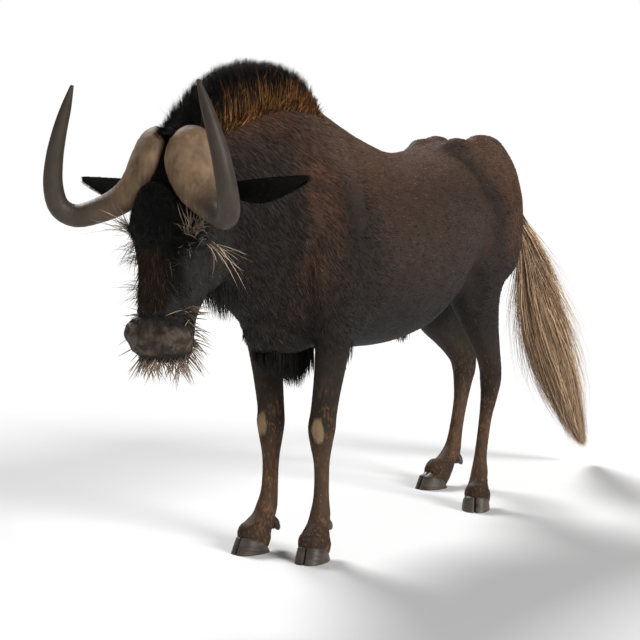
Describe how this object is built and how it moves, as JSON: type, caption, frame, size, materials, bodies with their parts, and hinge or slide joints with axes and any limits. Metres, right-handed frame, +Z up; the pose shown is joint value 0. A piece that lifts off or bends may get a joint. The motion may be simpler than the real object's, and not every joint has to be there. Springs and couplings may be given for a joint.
{
  "type": "black wildebeest",
  "caption": "Standing black wildebeest bull with hooked forward horns, upright mane, brush on the nose, fringed chest, cloven hooves and a long pale horse-like tail, in one still pose",
  "frame": {"origin": "on the floor, at the middle of the bounding box of the whole animal", "axes": "+Z up, the head looks along -Y, the animal's left side is +X"},
  "size_m": [0.644, 2.284, 1.221],
  "materials": {
    "dark coat": "short matt hair",
    "leg coat": "very short hair",
    "face coat": "velvety short hair",
    "muzzle skin": "bare wrinkled skin",
    "horn": "satin, finely ringed and worn",
    "hoof": "dull",
    "eye": "wet gloss",
    "ear coat": "short hair",
    "tail hair": "long loose hair"
  },
  "bodies": {
    "root": {"torso": "dark coat", "rump": "dark coat", "neck": "dark coat", "head": "face coat", "muzzle": "muzzle skin", "lower_jaw": "muzzle skin", "horn_left": "horn", "ear_left": "ear coat", "eye_left": "eye", "horn_right": "horn", "ear_right": "ear coat", "eye_right": "eye", "fore_left_leg_upper": "dark coat", "fore_left_leg_lower": "leg coat", "fore_left_hoof_outer": "hoof", "fore_left_hoof_inner": "hoof", "fore_left_dewclaw_outer": "hoof", "fore_left_dewclaw_inner": "hoof", "fore_right_leg_upper": "dark coat", "fore_right_leg_lower": "leg coat", "fore_right_hoof_outer": "hoof", "fore_right_hoof_inner": "hoof", "fore_right_dewclaw_outer": "hoof", "fore_right_dewclaw_inner": "hoof", "hind_left_leg_upper": "dark coat", "hind_left_leg_lower": "leg coat", "hind_left_hoof_outer": "hoof", "hind_left_hoof_inner": "hoof", "hind_left_dewclaw_outer": "hoof", "hind_left_dewclaw_inner": "hoof", "hind_right_leg_upper": "dark coat", "hind_right_leg_lower": "leg coat", "hind_right_hoof_outer": "hoof", "hind_right_hoof_inner": "hoof", "hind_right_dewclaw_outer": "hoof", "hind_right_dewclaw_inner": "hoof", "tail_dock": "dark coat", "tail_hair": "tail hair"}
  },
  "joints": []
}
